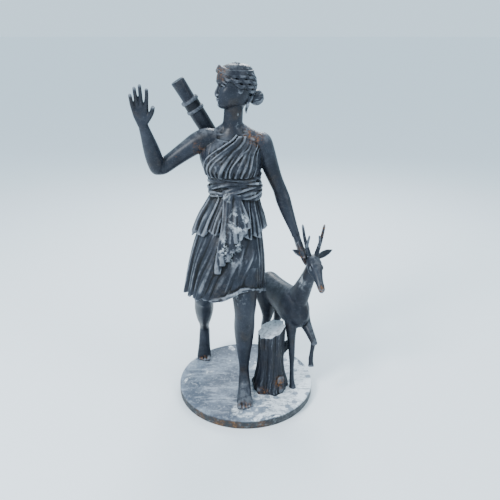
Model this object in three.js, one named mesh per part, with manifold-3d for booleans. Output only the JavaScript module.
// A cast iron garden statue: a walking huntress in a short pleated tunic, a quiver on her back,
// a young stag and a tree stump beside her, all on one round base plate.
// Millimetres, +Z up. The origin is the centre of the plate's underside, and the figure faces -Y.

import * as THREE from 'three';
import { mergeVertices } from 'three/addons/utils/BufferGeometryUtils.js';
import Module from 'manifold-3d';

const wasm = await Module();
wasm.setup();

// Driving sizes

const BASE_DIAMETER = 635;
const BASE_THICKNESS = 44;
const BASE_EDGE_ROUND = 4;
const FIGURE_HEIGHT = 1456; // from the plate to the crown of the hair
const STAG_HEIGHT = 830; // from the plate to the antler tips
const STUMP_HEIGHT = 330; // at the high side of its sawn top
const STUMP_FOOT_RADIUS = 80;
const STUMP_TOP_RADIUS = 60;
const QUIVER_LENGTH = 492;
const QUIVER_RADIUS = 33;
const SEAT_GAP = 0.3; // left between two castings where they meet

const vec = (x, y, z) => new THREE.Vector3(x, y, z);
const mix = (a, b, t) => a + (b - a) * t;
const bump = (x, centre, width) => Math.exp(-(((x - centre) / width) ** 2));

// Solids from skins

// A geometry as a closed solid whose faces point out.
function solid(geometry) {
  const bare = new THREE.BufferGeometry();
  bare.setAttribute('position', geometry.getAttribute('position').clone());
  bare.setIndex(geometry.index ? geometry.index.clone() : null);
  const merged = mergeVertices(bare, 1e-3);
  const triVerts = new Uint32Array(merged.index.array);
  const vertProperties = merged.attributes.position.array;
  const made = new wasm.Manifold(new wasm.Mesh({ numProp: 3, vertProperties, triVerts }));
  if (made.volume() > 0) return made;
  for (let i = 0; i < triVerts.length; i += 3) {
    [triVerts[i + 1], triVerts[i + 2]] = [triVerts[i + 2], triVerts[i + 1]];
  }
  return new wasm.Manifold(new wasm.Mesh({ numProp: 3, vertProperties, triVerts }));
}

// A skin over rings of equal count, with a fan over each end.
function skin(rings) {
  const count = rings[0].length;
  const points = rings.flat();
  const ends = [rings[0], rings[rings.length - 1]].map((ring) =>
    ring.reduce((sum, p) => sum.add(p), vec(0, 0, 0)).divideScalar(count));
  const index = [];
  for (let r = 0; r + 1 < rings.length; r++) {
    for (let i = 0; i < count; i++) {
      const [a, b] = [r * count + i, r * count + ((i + 1) % count)];
      index.push(a, b, b + count, a, b + count, a + count);
    }
  }
  const [first, last] = [points.length, points.length + 1];
  const lastRing = (rings.length - 1) * count;
  for (let i = 0; i < count; i++) {
    const next = (i + 1) % count;
    index.push(first, next, i, last, lastRing + i, lastRing + next);
  }
  const geometry = new THREE.BufferGeometry().setFromPoints([...points, ...ends]);
  return geometry.setIndex(index);
}

// Rows of numbers, run through smoothly and cut into even steps.
function smoothRows(rows, steps) {
  const made = [];
  for (let s = 0; s <= steps; s++) {
    const t = (s / steps) * (rows.length - 1);
    const i = Math.min(Math.floor(t), rows.length - 2);
    const u = t - i;
    const [p0, p1, p2, p3] = [rows[Math.max(i - 1, 0)], rows[i], rows[i + 1],
      rows[Math.min(i + 2, rows.length - 1)]];
    made.push(p1.map((v, k) => 0.5 * (2 * v + (p2[k] - p0[k]) * u
      + (2 * p0[k] - 5 * v + 4 * p2[k] - p3[k]) * u * u
      + (3 * v - p0[k] - 3 * p2[k] + p3[k]) * u * u * u)));
  }
  return made;
}

// A limb: rows of x, y, z, radius along `side`, radius across it. `level` keeps every ring flat,
// and `relief` gives how far the skin stands out at an angle and a share of the length.
function limb(rows, { side = [1, 0, 0], sides = 9, steps = rows.length, level = false,
  relief = () => 0, lift = () => 0, grow = 0 } = {}) {
  const run = smoothRows(rows, steps);
  const rings = run.map((row, i) => {
    const before = run[Math.max(i - 1, 0)];
    const after = run[Math.min(i + 1, run.length - 1)];
    const along = level ? vec(0, 0, 1) : vec(...after).sub(vec(...before)).normalize();
    const across = vec(0, 0, 0).crossVectors(along, vec(...side)).normalize();
    const wide = vec(0, 0, 0).crossVectors(across, along).normalize();
    return Array.from({ length: sides }, (_, k) => {
      const angle = (2 * Math.PI * k) / sides;
      const out = relief(angle, i / steps) + grow;
      const point = vec(row[0], row[1], row[2] + lift(angle, i / steps));
      point.addScaledVector(wide, (row[3] + out) * Math.cos(angle));
      return point.addScaledVector(across, (row[4] + out) * Math.sin(angle));
    });
  });
  return solid(skin(rings));
}

// An egg of three radii, turned by angles in degrees about X, then Y, then Z.
function egg(centre, radii, turn = [0, 0, 0], around = 7, down = 5) {
  const geometry = new THREE.SphereGeometry(1, around, down).scale(...radii);
  const [rx, ry, rz] = turn.map(THREE.MathUtils.degToRad);
  geometry.rotateX(rx).rotateY(ry).rotateZ(rz).translate(...centre);
  return solid(geometry);
}

const join = (pieces) => pieces.reduce((whole, piece) => whole.add(piece));

// Everything below the floor of a frame, to cut soles and hooves flat.
function below(size) {
  return solid(new THREE.BoxGeometry(size, size, size).translate(0, 0, -size / 2));
}

// The figure: a pose in shares of a 1456 mm model

const MODEL_HEIGHT = 1456;

// The trunk: x, y, z, half width, half depth.
const TRUNK = [
  [-53, 2, 870, 104, 80], [-44, 0, 940, 94, 72], [-47, -2, 995, 101, 76], [-54, -4, 1050, 116, 82],
  [-57, -2, 1095, 124, 80], [-55, 2, 1135, 120, 67], [-51, 6, 1164, 94, 54], [-50, 8, 1184, 62, 46],
  [-50, 8, 1204, 42, 40],
];

// How far the bust stands out at an angle (0 is +X, a quarter turn back is the front).
function bust(angle, x, z) {
  const sides = bump(x, -107, 44) + bump(x, -2, 44);
  return 38 * bump(z, 1064, 42) * sides * Math.max(0, -Math.sin(angle));
}

// The mantle crosses the chest from her left shoulder to her right hip, and crosses the back again.
const MANTLE_SLOPE = 0.0079; // radians a millimetre
const MANTLE_HALF_WIDTH = 0.62;
const MANTLE_FOLDS = 14;
const MANTLE_THICKNESS = 9;
const NECKLINE = 1150;

function torsoRelief(angle, v) {
  const at = v * (TRUNK.length - 1);
  const i = Math.min(Math.floor(at), TRUNK.length - 2);
  const [x, , z, half] = TRUNK[i].map((value, k) => mix(value, TRUNK[i + 1][k], at - i));
  const turned = angle > Math.PI ? angle - 2 * Math.PI : angle;
  const slant = MANTLE_SLOPE * (z - 1080);
  const across = turned < 0 ? turned + 1.2 - slant : turned - 1.3 + slant;
  const wrap = Math.max(0, 1 - (across / MANTLE_HALF_WIDTH) ** 4);
  const mantle = wrap * (MANTLE_THICKNESS + 6 * Math.cos(MANTLE_FOLDS * across));
  const bodice = (1 - wrap) * 4.5 * Math.cos(15 * angle + 0.01 * z);
  const dressed = 1 / (1 + Math.exp((z - NECKLINE) / 8));
  return bust(angle, x + half * Math.cos(angle), z) + dressed * (mantle + bodice);
}

const LEFT_LEG = [
  [-8, -78, 620, 66, 70], [-6, -104, 555, 58, 62], [-4, -125, 500, 50, 53], [-3, -132, 462, 46, 49],
  [-4, -126, 415, 42, 44], [-6, -108, 345, 43, 49], [-7, -97, 275, 38, 45], [-8, -91, 200, 29, 33],
  [-8, -86, 130, 22, 26], [-8, -82, 82, 22, 27], [-8, -80, 45, 24, 31],
];
const RIGHT_LEG = [
  [-150, 14, 620, 67, 70], [-167, 15, 545, 58, 61], [-180, 17, 490, 50, 52], [-190, 22, 442, 46, 48],
  [-194, 48, 398, 42, 44], [-199, 95, 333, 42, 48], [-204, 140, 268, 35, 41], [-208, 184, 212, 26, 29],
  [-211, 214, 170, 22, 25], [-212, 232, 146, 23, 26],
];
const LEFT_FOOT = [
  [-8, -40, 27, 10, 12], [-8, -52, 28, 25, 31], [-8, -82, 36, 27, 41], [-7, -125, 31, 28, 33],
  [-6, -165, 21, 32, 24], [-5, -200, 14, 37, 17], [-5, -222, 9, 35, 13], [-5, -236, 7, 28, 10],
];
const RIGHT_FOOT = [
  [-212, 264, 148, 10, 12], [-212, 253, 136, 23, 25], [-212, 232, 108, 26, 34],
  [-213, 205, 70, 29, 27], [-214, 180, 31, 34, 21], [-214, 164, 11, 37, 15], [-214, 151, 7, 31, 11],
];

// Five toes in a fan, the big one on the inner side.
function toes(x, y, inner, lengthen) {
  return [0, 1, 2, 3, 4].map((i) => egg([x + inner * (23 - 12.5 * i), y + 4.5 * i, 7 - 0.6 * i],
    [i ? 6.4 : 10, i ? lengthen - 2 * i : lengthen + 4, i ? 8 : 10.5], [0, 0, 0], 5, 3));
}

const UPPER_ARM_RIGHT = [
  [-100, 5, 1140, 36, 34], [-148, 3, 1156, 43, 41], [-190, -5, 1146, 39, 39], [-240, -14, 1116, 33, 34],
  [-295, -25, 1079, 29, 30], [-338, -33, 1050, 27, 28], [-360, -38, 1038, 20, 20],
];
const FOREARM_RIGHT = [
  [-355, -34, 1030, 20, 21], [-359, -42, 1050, 28, 28], [-366, -56, 1090, 30, 31],
  [-374, -73, 1135, 28, 28], [-383, -93, 1185, 22, 22], [-390, -107, 1222, 17, 18],
  [-393, -112, 1240, 17, 17],
];
const LEFT_ARM = [
  [50, 5, 1166, 26, 30], [68, 5, 1146, 38, 42], [84, 5, 1105, 37, 41], [104, 7, 1048, 33, 37],
  [124, 9, 995, 29, 32], [142, 9, 955, 27, 29], [152, 7, 930, 28, 29], [163, -3, 898, 29, 29],
  [177, -18, 858, 26, 26], [195, -37, 812, 21, 22], [210, -52, 775, 17, 19], [217, -60, 756, 17, 18],
];

// A finger or another thin, tapering form through a few points.
function finger(points, root, tip, sides = 4) {
  const last = points.length - 1;
  const rows = points.map((p, i) => [...p, mix(root, tip, i / last), mix(root, tip, i / last)]);
  const end = rows[last].map((v, k) => (k < 3 ? v + (v - rows[last - 1][k]) * 0.12 : v * 0.45));
  return limb([...rows, end], { side: [0.9, 0.3, 0.2], sides, steps: last + 2 });
}

// The raised right hand, open, with its palm to the front.
function raisedHand() {
  const palm = limb([[-392, -111, 1232, 17, 15], [-394, -116, 1256, 25, 14], [-396, -121, 1284, 31, 12],
    [-398, -126, 1308, 31, 10], [-399, -128, 1318, 27, 7]], { sides: 8, steps: 4 });
  const fingers = [
    [[-374, -124, 1304], [-371, -128, 1338], [-366, -134, 1368]],
    [[-390, -126, 1308], [-390, -133, 1348], [-388, -145, 1380]],
    [[-405, -127, 1306], [-408, -136, 1342], [-408, -150, 1370]],
    [[-419, -126, 1298], [-425, -136, 1326], [-427, -150, 1348]],
  ].map((points) => finger(points, 8.4, 6.2));
  const thumb = finger([[-374, -118, 1252], [-352, -128, 1280], [-344, -138, 1306]], 11, 6.8);
  return join([palm, ...fingers, thumb]);
}

// The lowered left hand, resting on the stag's neck behind its ears.
function restingHand() {
  const palm = limb([[216, -59, 762, 17, 15], [224, -62, 738, 24, 14], [233, -66, 712, 30, 13],
    [242, -71, 690, 30, 11], [246, -74, 680, 25, 8]], { side: [0.35, -0.9, 0.1], sides: 8, steps: 4 });
  const fingers = [0, 1, 2, 3].map((i) => {
    const across = mix(-23, 22, i / 3);
    const reach = [0, 5, 3, -6][i];
    return finger([[241 + 0.3 * across, -70 + across, 692], [252 + 0.3 * across, -76 + across, 662 - reach],
      [268 + 0.3 * across, -82 + across, 640 - reach]], 8.2, 6.2);
  });
  const thumb = finger([[229, -84, 724], [240, -104, 700], [250, -114, 676]], 10, 6.8);
  return join([palm, ...fingers, thumb]);
}

// The head, in its own frame: +Y is where it looks, z from chin to crown

const HEAD_AT = [-42, 2, 1286];
const HEAD_TURN = 68; // degrees to her right
const FACE = [ // height, forward, back, half width
  [-6, 52, 20, 16], [0, 62, 40, 28], [12, 68, 52, 40], [30, 70, 60, 48], [50, 70, 68, 54],
  [72, 66, 76, 58], [84, 64, 80, 60], [96, 71, 83, 61], [118, 70, 84, 61], [140, 60, 78, 56],
  [156, 42, 62, 45], [164, 20, 38, 26],
];

function skull() {
  const rows = FACE.map(([z, front, back, half]) => [0, (front - back) / 2, z, half, (front + back) / 2]);
  return limb(rows, { sides: 14, steps: 10, level: true });
}

function head() {
  const nose = limb([[0, 60, 92, 5, 6], [0, 70, 78, 7, 9], [0, 78, 60, 9, 11], [0, 82, 50, 12, 10],
    [0, 72, 44, 10, 5]], { sides: 6, steps: 4 });
  const lips = [33.5, 26].map((z) => egg([0, 68, z], [16, 9, 4.8], [0, 0, 0], 6, 4));
  const chin = egg([0, 60, 9], [18, 14, 13]);
  const sockets = [-1, 1].map((s) => egg([s * 27, 76, 82], [15, 14, 8.5], [0, 0, 0], 6, 4));
  const eyes = [-1, 1].map((s) => egg([s * 26, 52, 81], [12.5, 12, 9], [0, 0, 0], 5, 4));
  const face = sockets.reduce((whole, socket) => whole.subtract(socket), skull());
  // Wavy hair: a cap in ripples, drawn back to a knot at the nape.
  const cap = limb([[0, -26, 62, 56, 60], [0, -24, 84, 66, 72], [0, -18, 104, 70, 80],
    [0, -12, 124, 68, 82], [0, -10, 144, 60, 74], [0, -10, 158, 46, 58], [0, -10, 167, 24, 32],
    [0, -10, 170, 8, 12]],
  { sides: 20, steps: 6, level: true, relief: (a, v) => 3.4 * Math.cos(10 * a) * (1 - v) });
  const temples = [-1, 1].map((s) => limb([[s * 10, 62, 134, 10, 9], [s * 34, 50, 118, 12, 11],
    [s * 54, 26, 100, 12, 12], [s * 62, 0, 82, 12, 13], [s * 56, -30, 62, 12, 14],
    [s * 30, -62, 42, 12, 14]],
  { side: [0, 0.4, 1], sides: 5, steps: 6, relief: (a, v) => 2 * Math.sin(18 * v) }));
  const knot = limb([[0, -60, 48, 18, 20], [0, -78, 40, 27, 26], [0, -94, 33, 30, 29],
    [0, -110, 27, 26, 25], [0, -122, 23, 12, 12]],
  { sides: 8, steps: 4, relief: (a, v) => 2 * Math.sin(4 * a + 9 * v) });
  // A plain band that rises to a low peak over the brow.
  const band = limb([[0, 2, 112, 67, 72], [0, -3, 128, 67, 72], [0, -7, 143, 62, 65]],
    { sides: 16, steps: 2, level: true, lift: (a) => 26 * bump(a, Math.PI / 2, 0.55) });
  return join([face, ...eyes, nose, ...lips, chin, cap, ...temples, knot, band]);
}

// The dress

// Pleats round a skirt: broad crests and narrow valleys, a little uneven.
function pleats(angle, count, unevenness, lean = 0) {
  const phase = count * (angle + unevenness * Math.sin(2 * angle + 1) + lean) / 2;
  return Math.sqrt(Math.abs(Math.cos(phase))) - 0.6;
}

// From the waist to the hem: x, y, z, half width, half depth.
const SKIRT = [
  [-66, -6, 790, 134, 106], [-76, -16, 700, 152, 124], [-84, -24, 610, 164, 142],
  [-92, -34, 503, 174, 158],
];
const SKIRT_FACES = 60;
const HEM_INSET = 20;
const HEM_RECESS = 34;
const KNEE_ANGLE = -1.05; // where the forward knee lifts the hem

function hemLift(angle, v) {
  const away = Math.abs(((angle - KNEE_ANGLE + 3 * Math.PI) % (2 * Math.PI)) - Math.PI);
  return v * v * 44 * Math.exp(-((away / 0.52) ** 2));
}

function skirt() {
  const folds = (angle, v) => mix(3, 15, v) * pleats(angle, 16, 0.22, 0.25 * v);
  const outer = limb(SKIRT, { sides: SKIRT_FACES, steps: 3, level: true, relief: folds, lift: hemLift });
  const hem = SKIRT[SKIRT.length - 1];
  const inside = [[...hem], [...hem]];
  inside[0][2] += HEM_RECESS;
  inside[1][2] -= HEM_RECESS;
  const hollow = limb(inside, { sides: 20, steps: 1, level: true, grow: -HEM_INSET,
    lift: (angle) => hemLift(angle, 1) });
  return outer.subtract(hollow);
}

const OVERFOLD = [
  [-44, 0, 930, 100, 80], [-54, -2, 885, 116, 93], [-62, -4, 840, 136, 108], [-70, -8, 780, 156, 124],
];

function overfold() {
  const folds = (angle, v) => mix(4, 12, v) * pleats(angle, 18, 0.3, -0.3 * v);
  const edge = (angle, v) => v ** 3 * (14 * Math.sin(3 * angle + 0.6) + 10 * Math.sin(10 * angle));
  return limb(OVERFOLD, { sides: 54, steps: 3, level: true, relief: folds, lift: edge });
}

// The mantle, rolled and wound round the waist.
function sash() {
  const rows = [[-43, 0, 912, 86, 66], [-43, 0, 920, 104, 82], [-42, 0, 940, 112, 88],
    [-42, -1, 965, 113, 89], [-43, -2, 990, 112, 88], [-44, -2, 1012, 108, 85], [-45, -2, 1026, 98, 76]];
  const rolls = (angle, v) => (v > 0.04 && v < 0.96
    ? 6.5 * Math.sin(15 * v + 1.6 * Math.sin(angle + 1) + 0.8 * Math.sin(3 * angle)) : 0);
  return limb(rows, { sides: 18, steps: 7, level: true, relief: rolls,
    lift: (angle) => 9 * Math.sin(angle * 2 + 0.5) - 9 * Math.sin(angle) });
}

const FIGURE_SCALE = FIGURE_HEIGHT / MODEL_HEIGHT;

// The forward leg, which the stump stands clear of.
function forwardLeg(grow = 0) {
  return limb(LEFT_LEG, { grow }).add(limb(LEFT_FOOT, { grow }));
}

function huntress() {
  const trunk = limb(TRUNK, { sides: 44, steps: 12, level: true, relief: torsoRelief });
  const shoulderCloth = egg([30, 2, 1160], [30, 46, 20], [0, 28, 0], 9, 5);
  const neck = limb([[-50, 10, 1180, 48, 44], [-50, 9, 1215, 41, 40], [-47, 6, 1255, 39, 40],
    [-44, 4, 1320, 38, 40]], { steps: 4 });
  const slopes = [-1, 1].map((s) => limb([[-50 + 16 * s, 10, 1212, 24, 22],
    [-50 + 60 * s, 9, 1176, 32, 28], [-50 + 100 * s, 6, 1158, 32, 28]], { side: [0, 1, 0] }));
  const shoulders = [egg([-150, 3, 1150], [42, 44, 40]), egg([54, 5, 1146], [40, 44, 40])];
  const legs = [forwardLeg(), limb(RIGHT_LEG), limb(RIGHT_FOOT)];
  const allToes = [...toes(-5, -238, -1, 13), ...toes(-214, 150, 1, 12)];
  const arms = [limb(UPPER_ARM_RIGHT, { side: [0, 1, 0] }), limb(FOREARM_RIGHT, { side: [0.3, 1, 0] }),
    egg([-356, -36, 1042], [27, 27, 27]), limb(LEFT_ARM)];
  const turned = head().rotate([0, 0, 180 - HEAD_TURN]).translate(HEAD_AT);
  const parts = [trunk, shoulderCloth, neck, ...slopes, ...shoulders, ...legs, ...allToes, ...arms,
    raisedHand(), restingHand(), turned, sash(), overfold(), skirt()];
  return join(parts).subtract(below(2 * MODEL_HEIGHT)).scale(FIGURE_SCALE);
}

// The young stag

const STAG_MODEL_HEIGHT = 830;
const STAG_SCALE = STAG_HEIGHT / STAG_MODEL_HEIGHT;
const STAG_HIP = [118, 172];
const STAG_FACING = [0.495, -0.869];
const STAG_SIDE = [0.869, 0.495, 0];

// A row of the stag's body at a distance from the hips towards the chest.
const alongStag = (s, z, half, deep) =>
  [STAG_HIP[0] + STAG_FACING[0] * s, STAG_HIP[1] + STAG_FACING[1] * s, z, half, deep];

const STAG_NECK = [
  [218, -6, 412, 46, 66], [238, -36, 458, 38, 54], [256, -66, 520, 31, 43], [272, -92, 580, 26, 35],
  [282, -106, 622, 24, 31], [288, -114, 652, 20, 26],
];
const STAG_LOOK = vec(0.2, -0.77, -0.6).normalize();

// The skull from the poll to the muzzle: distance along the look, rise, half width, half depth.
const STAG_SKULL = [
  [-22, 2, 12, 14], [-8, 2, 26, 27], [18, 3, 32, 32], [45, 2, 30, 30], [72, 0, 22, 24],
  [100, -2, 17, 18], [126, -3, 16, 15], [142, -4, 13, 12], [149, -4, 6, 6],
];

function stagHead(grow) {
  const rows = STAG_SKULL.map(([t, up, half, deep]) => [286 + STAG_LOOK.x * t,
    -108 + STAG_LOOK.y * t, 662 + STAG_LOOK.z * t + up, half, deep]);
  const head = limb(rows, { side: [0.96, 0.25, 0], sides: 8, steps: 8, grow });
  const sides = [-1, 1].flatMap((s) => {
    const eye = egg([296 + s * 27, -128 + s * 9, 652], [6, 8, 6], [0, 0, 0], 4, 3);
    const ear = limb([[286 + s * 20, -98, 672, 7, 6], [286 + s * 42, -88, 682, 13, 6],
      [286 + s * 66, -80, 692, 11, 5], [286 + s * 86, -76, 700, 2, 2]],
    { side: [0, 0.5, 1], sides: 4, steps: 3, grow });
    const beam = [[284 + s * 12, -108, 680], [284 + s * 24, -104, 720], [284 + s * 36, -98, 764],
      [284 + s * 46, -96, 823]];
    const tine = [[284 + s * 27, -103, 732], [284 + s * 26, -130, 758], [284 + s * 20, -140, 788]];
    return [eye, ear, finger(beam, 8.5 + grow, 3.2 + grow), finger(tine, 6.5 + grow, 3 + grow)];
  });
  return join([head, ...sides]);
}

// Legs through joints of x, y, z and radius: the standing foreleg, the raised one in two
// stretches, and the hind legs.
const STAG_LEGS = [
  [[206, -30, 390, 34], [208, -42, 320, 28], [210, -52, 250, 19], [214, -60, 172, 14],
    [216, -62, 100, 10], [217, -63, 44, 11.5], [219, -70, 22, 12], [221, -75, 0, 16], [221, -75, -8, 16]],
  [[258, -2, 390, 34], [270, -34, 336, 27], [290, -80, 300, 19], [306, -114, 270, 14.5],
    [309, -118, 258, 13]],
  [[306, -112, 272, 13], [303, -108, 240, 10], [300, -102, 200, 9.5], [298, -104, 176, 11],
    [298, -108, 160, 11], [299, -116, 140, 14]],
  [[148, 190, 400, 48], [164, 176, 330, 38], [164, 178, 262, 24], [154, 206, 190, 15],
    [156, 208, 160, 12], [164, 200, 90, 10], [167, 196, 44, 11.5], [170, 188, 22, 12],
    [173, 183, 0, 16], [173, 183, -8, 16]],
  [[88, 154, 400, 48], [104, 138, 330, 38], [106, 140, 262, 24], [92, 172, 190, 15],
    [93, 174, 160, 12], [98, 166, 90, 10], [100, 162, 44, 11.5], [103, 154, 22, 12],
    [106, 149, 0, 16], [106, 149, -8, 16]],
];

// The stag, or with `grow` the slightly larger form that its neighbours are cut by.
function stag(grow = 0) {
  const trunk = limb([alongStag(-64, 404, 16, 24), alongStag(-48, 404, 44, 56),
    alongStag(-10, 404, 62, 80), alongStag(50, 408, 58, 72), alongStag(120, 402, 60, 78),
    alongStag(185, 394, 65, 92), alongStag(230, 392, 60, 92), alongStag(268, 396, 46, 74),
    alongStag(292, 402, 20, 36)], { side: STAG_SIDE, sides: 12, steps: 8, grow });
  const legs = STAG_LEGS.map((joints) => limb(joints.map(([x, y, z, r]) => [x, y, z, r, r * 1.12]),
    { side: STAG_SIDE, sides: 6, grow }));
  const neck = limb(STAG_NECK, { side: STAG_SIDE, grow });
  const tail = limb([[97, 209, 432, 9, 9], [88, 228, 458, 13, 9], [78, 246, 448, 12, 8],
    [72, 254, 422, 4, 4]], { side: STAG_SIDE, sides: 4, grow });
  const whole = join([trunk, neck, stagHead(grow), ...legs, tail]);
  return whole.subtract(below(2 * MODEL_HEIGHT)).scale(STAG_SCALE);
}

// The stump

const STUMP_AT = [114, -62];

function stump() {
  const h = STUMP_HEIGHT;
  const [foot, top] = [STUMP_FOOT_RADIUS, STUMP_TOP_RADIUS];
  // Height and radius as shares, with the trunk leaning a little.
  const outline = [[-0.02, 0], [0.06, 0.05], [0.2, 0.55], [0.42, 1.1], [0.7, 1.1], [1, 1]];
  const rows = outline.map(([rise, taper]) =>
    [4 * rise, 3 * rise, rise * h, mix(foot, top, taper), mix(foot, top, taper)]);
  const bark = (angle, v) => 2.8 * Math.sin(8 * angle + 3 * v) + 1.6 * Math.sin(13 * angle - 4 * v)
    + 5 * (1 - v) ** 4 * Math.sin(5 * angle + 0.8);
  const trunk = limb(rows, { sides: 28, steps: 5, level: true, relief: bark,
    lift: (angle, v) => (v > 0.99 ? 24 * Math.cos(angle - 0.5) - 24 : 0) });
  const branch = limb([[0.6 * top, 22, 0.5 * h, 20, 22], [top + 2, 26, 0.57 * h, 17, 19],
    [top + 24, 30, 0.64 * h, 15, 17], [top + 26, 30, 0.645 * h, 13, 15]],
  { side: [0, 1, 0], sides: 7, steps: 3 });
  const knot = egg([0.58 * foot, -0.62 * foot, 0.19 * h], [22, 16, 24], [0, 0, 40]);
  const knotHole = egg([0.69 * foot, -0.77 * foot, 0.2 * h], [10, 9, 12], [0, 0, 40]);
  const whole = join([trunk, branch, knot]).subtract(knotHole).subtract(below(4 * h));
  const here = [-STUMP_AT[0], -STUMP_AT[1], 0];
  const leg = forwardLeg(SEAT_GAP).scale(FIGURE_SCALE).translate(here);
  return whole.subtract(leg).subtract(stag(SEAT_GAP).translate(here));
}

// The quiver

const QUIVER_MOUTH = 406; // height of the case, where the lid starts
const COLLAR = 5; // how far its two collars stand out
const QUIVER_TOP = [-272, 50, 1384];
const QUIVER_FOOT_DIRECTION = [0.5, 0.115, -0.858];

// The quiver as one turned form: a tapering case, two collars, and the plain lid above them.
function quiver(grow = 0) {
  const r = QUIVER_RADIUS;
  const mouth = QUIVER_MOUTH;
  const collars = [mouth - 54, mouth - 12].flatMap((z) =>
    [[r, z - 2], [r + COLLAR, z], [r + COLLAR, z + 11], [r, z + 13]]);
  const profile = [[0, 0], [0.7 * r, 0], [0.82 * r, 12], [r, mouth - 90], ...collars,
    [0.82 * r, mouth + 2], [0.88 * r, QUIVER_LENGTH - 5], [0.8 * r, QUIVER_LENGTH], [0, QUIVER_LENGTH]];
  const grown = profile.map(([radius, z], i) => new THREE.Vector2(radius ? radius + grow : 0,
    z + (i < 2 ? -grow : 0) + (i > profile.length - 3 ? grow : 0)));
  const turned = new THREE.LatheGeometry(grown, 15).rotateX(Math.PI / 2);
  const up = vec(...QUIVER_FOOT_DIRECTION).normalize().negate();
  const top = vec(...QUIVER_TOP).multiplyScalar(FIGURE_SCALE);
  const foot = top.clone().addScaledVector(up, -QUIVER_LENGTH);
  turned.applyQuaternion(new THREE.Quaternion().setFromUnitVectors(vec(0, 0, 1), up));
  turned.translate(foot.x, foot.y, foot.z);
  return solid(turned);
}

// The base plate

function basePlate() {
  const [r, t, e] = [BASE_DIAMETER / 2, BASE_THICKNESS, BASE_EDGE_ROUND];
  const profile = [[0, 0], [r, 0], [r, t - e], [r - e, t], [0, t]];
  const points = profile.map(([radius, z]) => new THREE.Vector2(radius, z));
  return solid(new THREE.LatheGeometry(points, 64).rotateX(Math.PI / 2));
}

// The statue

const PAINTED_IRON = new THREE.MeshStandardMaterial({ color: 0x2b3038, roughness: 0.55, metalness: 0.6 });
const WEATHERED_IRON = new THREE.MeshStandardMaterial({ color: 0x7d8590, roughness: 0.7, metalness: 0.4 });
const BARK_IRON = new THREE.MeshStandardMaterial({ color: 0x272a2e, roughness: 0.65, metalness: 0.5 });

function mesh(name, form, material, position) {
  const made = form.getMesh();
  const geometry = new THREE.BufferGeometry();
  geometry.setAttribute('position', new THREE.BufferAttribute(new Float32Array(made.vertProperties), 3));
  geometry.setIndex(new THREE.BufferAttribute(new Uint32Array(made.triVerts), 1));
  const piece = new THREE.Mesh(geometry, material);
  piece.name = name;
  piece.position.set(...position);
  return piece;
}

const statue = new THREE.Group();
const onPlate = [0, 0, BASE_THICKNESS + SEAT_GAP];
const figure = huntress().subtract(quiver(SEAT_GAP)).subtract(stag(SEAT_GAP));
statue.add(mesh('base_plate', basePlate(), WEATHERED_IRON, [0, 0, 0]));
statue.add(mesh('huntress', figure, PAINTED_IRON, onPlate));
statue.add(mesh('quiver', quiver(), PAINTED_IRON, onPlate));
statue.add(mesh('stag', stag(), PAINTED_IRON, onPlate));
statue.add(mesh('tree_stump', stump(), BARK_IRON, [STUMP_AT[0], STUMP_AT[1], BASE_THICKNESS + SEAT_GAP]));

export default statue;
